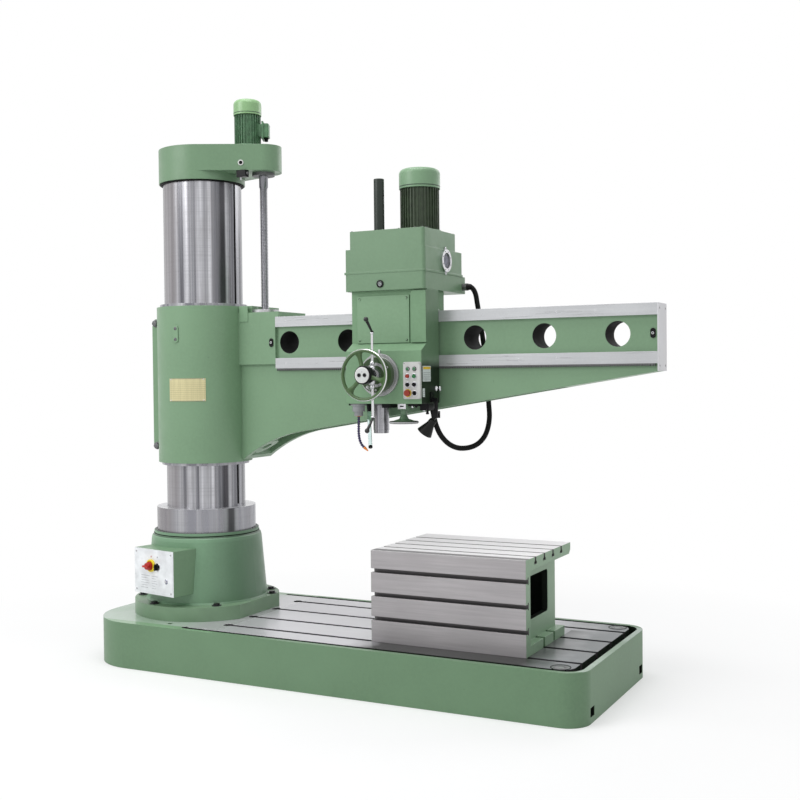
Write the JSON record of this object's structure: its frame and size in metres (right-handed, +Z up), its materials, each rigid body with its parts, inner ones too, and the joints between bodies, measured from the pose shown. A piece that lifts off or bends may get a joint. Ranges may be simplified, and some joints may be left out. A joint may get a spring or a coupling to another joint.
{
  "type": "radial arm drill",
  "caption": "Radial drilling machine: turning column on a slotted base, screw-raised arm, traversing drill head with geared spindle, feed levers and handwheel, and a slotted box table.",
  "frame": {"origin": "the column axis at the floor", "axes": "+X along the arm from the column to its tip at rest, -Y towards the operator, +Z up"},
  "size_m": [3.028, 1.05, 3.041],
  "materials": {
    "green_paint": "satin mid-green enamel on cast iron",
    "dark_green_paint": "satin darker green enamel on cast iron",
    "light_green_paint": "brighter green enamel on sheet steel",
    "motor_paint": "near-black green enamel on a finned casting",
    "ground_steel": "ground and polished steel",
    "bright_steel": "bright turned steel",
    "machined_iron": "planed cast iron with fine tool marks",
    "black_paint": "black enamel",
    "black_plastic": "moulded black plastic",
    "black_rubber": "black ribbed conduit",
    "hose_plastic": "dark violet jointed plastic hose",
    "white_plate": "white enamelled plate",
    "brass_plate": "bare etched brass plate",
    "red_plastic": "glossy red plastic",
    "green_plastic": "glossy green plastic",
    "clear_glass": "clear sight glass"
  },
  "bodies": {
    "base": {"base_casting": "green_paint", "base_fasteners": "black_paint", "box_table": "machined_iron", "pedestal": "dark_green_paint", "inner_column": "ground_steel", "column_bearings": "bright_steel", "switch_box": "green_paint", "switch_plate": "white_plate"},
    "main_switch": {"main_switch": "red_plastic"},
    "pump_switch": {"pump_switch": "black_plastic"},
    "column": {"outer_column": "ground_steel", "clamp_ring": "bright_steel", "top_cap": "green_paint", "lift_motor": "dark_green_paint", "lift_motor_cowl": "light_green_paint", "screw_bearing": "black_paint"},
    "lift_rotor": {"lift_rotor": "ground_steel"},
    "lift_screw": {"lift_screw": "bright_steel"},
    "arm": {"arm_casting": "green_paint", "arm_guideways": "ground_steel", "column_wipers": "bright_steel", "lift_nut": "machined_iron", "arm_end_plate": "white_plate", "traverse_rack": "ground_steel", "rating_plate": "brass_plate"},
    "head": {"head_casting": "green_paint", "gearbox_case": "green_paint", "gearbox_cover": "green_paint", "front_cover": "green_paint", "sight_ring": "bright_steel", "sight_lens": "clear_glass", "head_motor": "motor_paint", "head_motor_cowl": "light_green_paint", "spindle_guard": "black_paint", "control_panel": "white_plate", "panel_lamps": "green_plastic", "coolant_block": "machined_iron", "coolant_hose": "hose_plastic", "conduit": "black_rubber", "conduit_glands": "black_plastic", "lamp_bracket": "black_paint"},
    "head_rotor": {"head_rotor": "ground_steel"},
    "mid_gears": {"intermediate_gears": "ground_steel"},
    "drive_gear": {"spindle_gear": "ground_steel"},
    "lamp": {"work_lamp": "black_paint"},
    "traverse": {"traverse_wheel": "green_paint", "traverse_shaft": "ground_steel"},
    "clamp_button": {"clamp_button": "black_plastic"},
    "release_button": {"release_button": "black_plastic"},
    "feed": {"feed_dial": "green_paint", "feed_levers": "bright_steel"},
    "fine_feed": {"fine_feed_wheel": "green_paint"},
    "quill": {"quill": "ground_steel"},
    "spindle": {"spindle": "bright_steel"},
    "stop_button": {"stop_button": "red_plastic"},
    "start_button": {"start_button": "green_plastic"},
    "raise_button": {"raise_button": "black_plastic"},
    "lower_button": {"lower_button": "black_plastic"},
    "emergency_stop": {"emergency_stop": "red_plastic"},
    "selector": {"clamp_selector": "black_plastic"}
  },
  "joints": [
    {"name": "column_swing", "type": "hinge", "parent": "base", "child": "column", "pos_m": [0, 0, 0], "axis": [0, 0, 1], "range_deg": [-180, 180]},
    {"name": "arm_lift", "type": "slide", "parent": "column", "child": "arm", "axis": [0, 0, 1], "range_m": [-0.22, 0.58]},
    {"name": "lift_screw_turn", "type": "hinge", "parent": "column", "child": "lift_screw", "pos_m": [0.375, 0.05, 0], "axis": [0, 0, 1], "range_deg": [-9910, 26110]},
    {"name": "lift_rotor_turn", "type": "hinge", "parent": "column", "child": "lift_rotor", "pos_m": [0.28349, 0.0378, 0], "axis": [0, 0, 1], "continuous": true},
    {"name": "head_traverse", "type": "slide", "parent": "arm", "child": "head", "axis": [1, 0, 0], "range_m": [-0.51, 1.03]},
    {"name": "traverse_turn", "type": "hinge", "parent": "head", "child": "traverse", "pos_m": [1.236, -0.39, 1.532], "axis": [0, -1, 0], "range_deg": [-920, 1850]},
    {"name": "clamp_button_press", "type": "slide", "parent": "traverse", "child": "clamp_button", "axis": [0, 1, 0], "range_m": [0, 0.004], "stiffness_N_per_m": 1200, "springref_m": -0.003},
    {"name": "release_button_press", "type": "slide", "parent": "traverse", "child": "release_button", "axis": [0, 1, 0], "range_m": [0, 0.004], "stiffness_N_per_m": 1200, "springref_m": -0.003},
    {"name": "quill_feed", "type": "slide", "parent": "head", "child": "quill", "axis": [0, 0, -1], "range_m": [-0.09, 0.31]},
    {"name": "feed_turn", "type": "hinge", "parent": "head", "child": "feed", "pos_m": [1.236, -0.3, 1.532], "axis": [0, -1, 0], "range_deg": [-174, 594]},
    {"name": "head_rotor_turn", "type": "hinge", "parent": "head", "child": "head_rotor", "pos_m": [1.31943, 0.06024, 0], "axis": [0, 0, 1], "continuous": true},
    {"name": "mid_gears_turn", "type": "hinge", "parent": "head", "child": "mid_gears", "pos_m": [1.26174, -0.03576, 0], "axis": [0, 0, 1], "continuous": true},
    {"name": "drive_gear_turn", "type": "hinge", "parent": "head", "child": "drive_gear", "pos_m": [1.17, -0.1, 0], "axis": [0, 0, 1], "continuous": true},
    {"name": "spindle_turn", "type": "hinge", "parent": "quill", "child": "spindle", "pos_m": [1.17, -0.1, 0], "axis": [0, 0, 1], "continuous": true},
    {"name": "fine_feed_turn", "type": "hinge", "parent": "head", "child": "fine_feed", "pos_m": [1.324, -0.15, 0], "axis": [0, 0, 1], "continuous": true},
    {"name": "lamp_tilt", "type": "hinge", "parent": "head", "child": "lamp", "pos_m": [1.488, -0.122, 1.328], "axis": [0, 1, 0], "range_deg": [-50, 8]},
    {"name": "stop_button_press", "type": "slide", "parent": "head", "child": "stop_button", "axis": [0, 1, 0], "range_m": [0, 0.004], "stiffness_N_per_m": 1200, "springref_m": -0.003},
    {"name": "start_button_press", "type": "slide", "parent": "head", "child": "start_button", "axis": [0, 1, 0], "range_m": [0, 0.004], "stiffness_N_per_m": 1200, "springref_m": -0.003},
    {"name": "raise_button_press", "type": "slide", "parent": "head", "child": "raise_button", "axis": [0, 1, 0], "range_m": [0, 0.004], "stiffness_N_per_m": 1200, "springref_m": -0.003},
    {"name": "lower_button_press", "type": "slide", "parent": "head", "child": "lower_button", "axis": [0, 1, 0], "range_m": [0, 0.004], "stiffness_N_per_m": 1200, "springref_m": -0.003},
    {"name": "emergency_stop_press", "type": "slide", "parent": "head", "child": "emergency_stop", "axis": [0, 1, 0], "range_m": [0, 0.004], "stiffness_N_per_m": 1200, "springref_m": -0.003},
    {"name": "selector_turn", "type": "hinge", "parent": "head", "child": "selector", "pos_m": [1.434, -0.25, 1.443], "axis": [0, -1, 0], "range_deg": [-45, 45]},
    {"name": "main_switch_turn", "type": "hinge", "parent": "base", "child": "main_switch", "pos_m": [-0.07361, -0.39026, 0.528], "axis": [-0.2079, -0.9781, 0], "range_deg": [0, 90]},
    {"name": "pump_switch_turn", "type": "hinge", "parent": "base", "child": "pump_switch", "pos_m": [-0.02568, -0.40044, 0.524], "axis": [-0.2079, -0.9781, 0], "range_deg": [0, 90]}
  ],
  "couplings": [
    {"joint": "lift_screw_turn", "follows": "arm_lift", "rad_per_m": 785.4},
    {"joint": "traverse_turn", "follows": "head_traverse", "rad_per_m": 31.25},
    {"joint": "feed_turn", "follows": "quill_feed", "rad_per_m": 33.333},
    {"joint": "mid_gears_turn", "follows": "head_rotor_turn", "ratio": -0.47368},
    {"joint": "drive_gear_turn", "follows": "head_rotor_turn", "ratio": 0.26316},
    {"joint": "spindle_turn", "follows": "head_rotor_turn", "ratio": 0.26316}
  ]
}
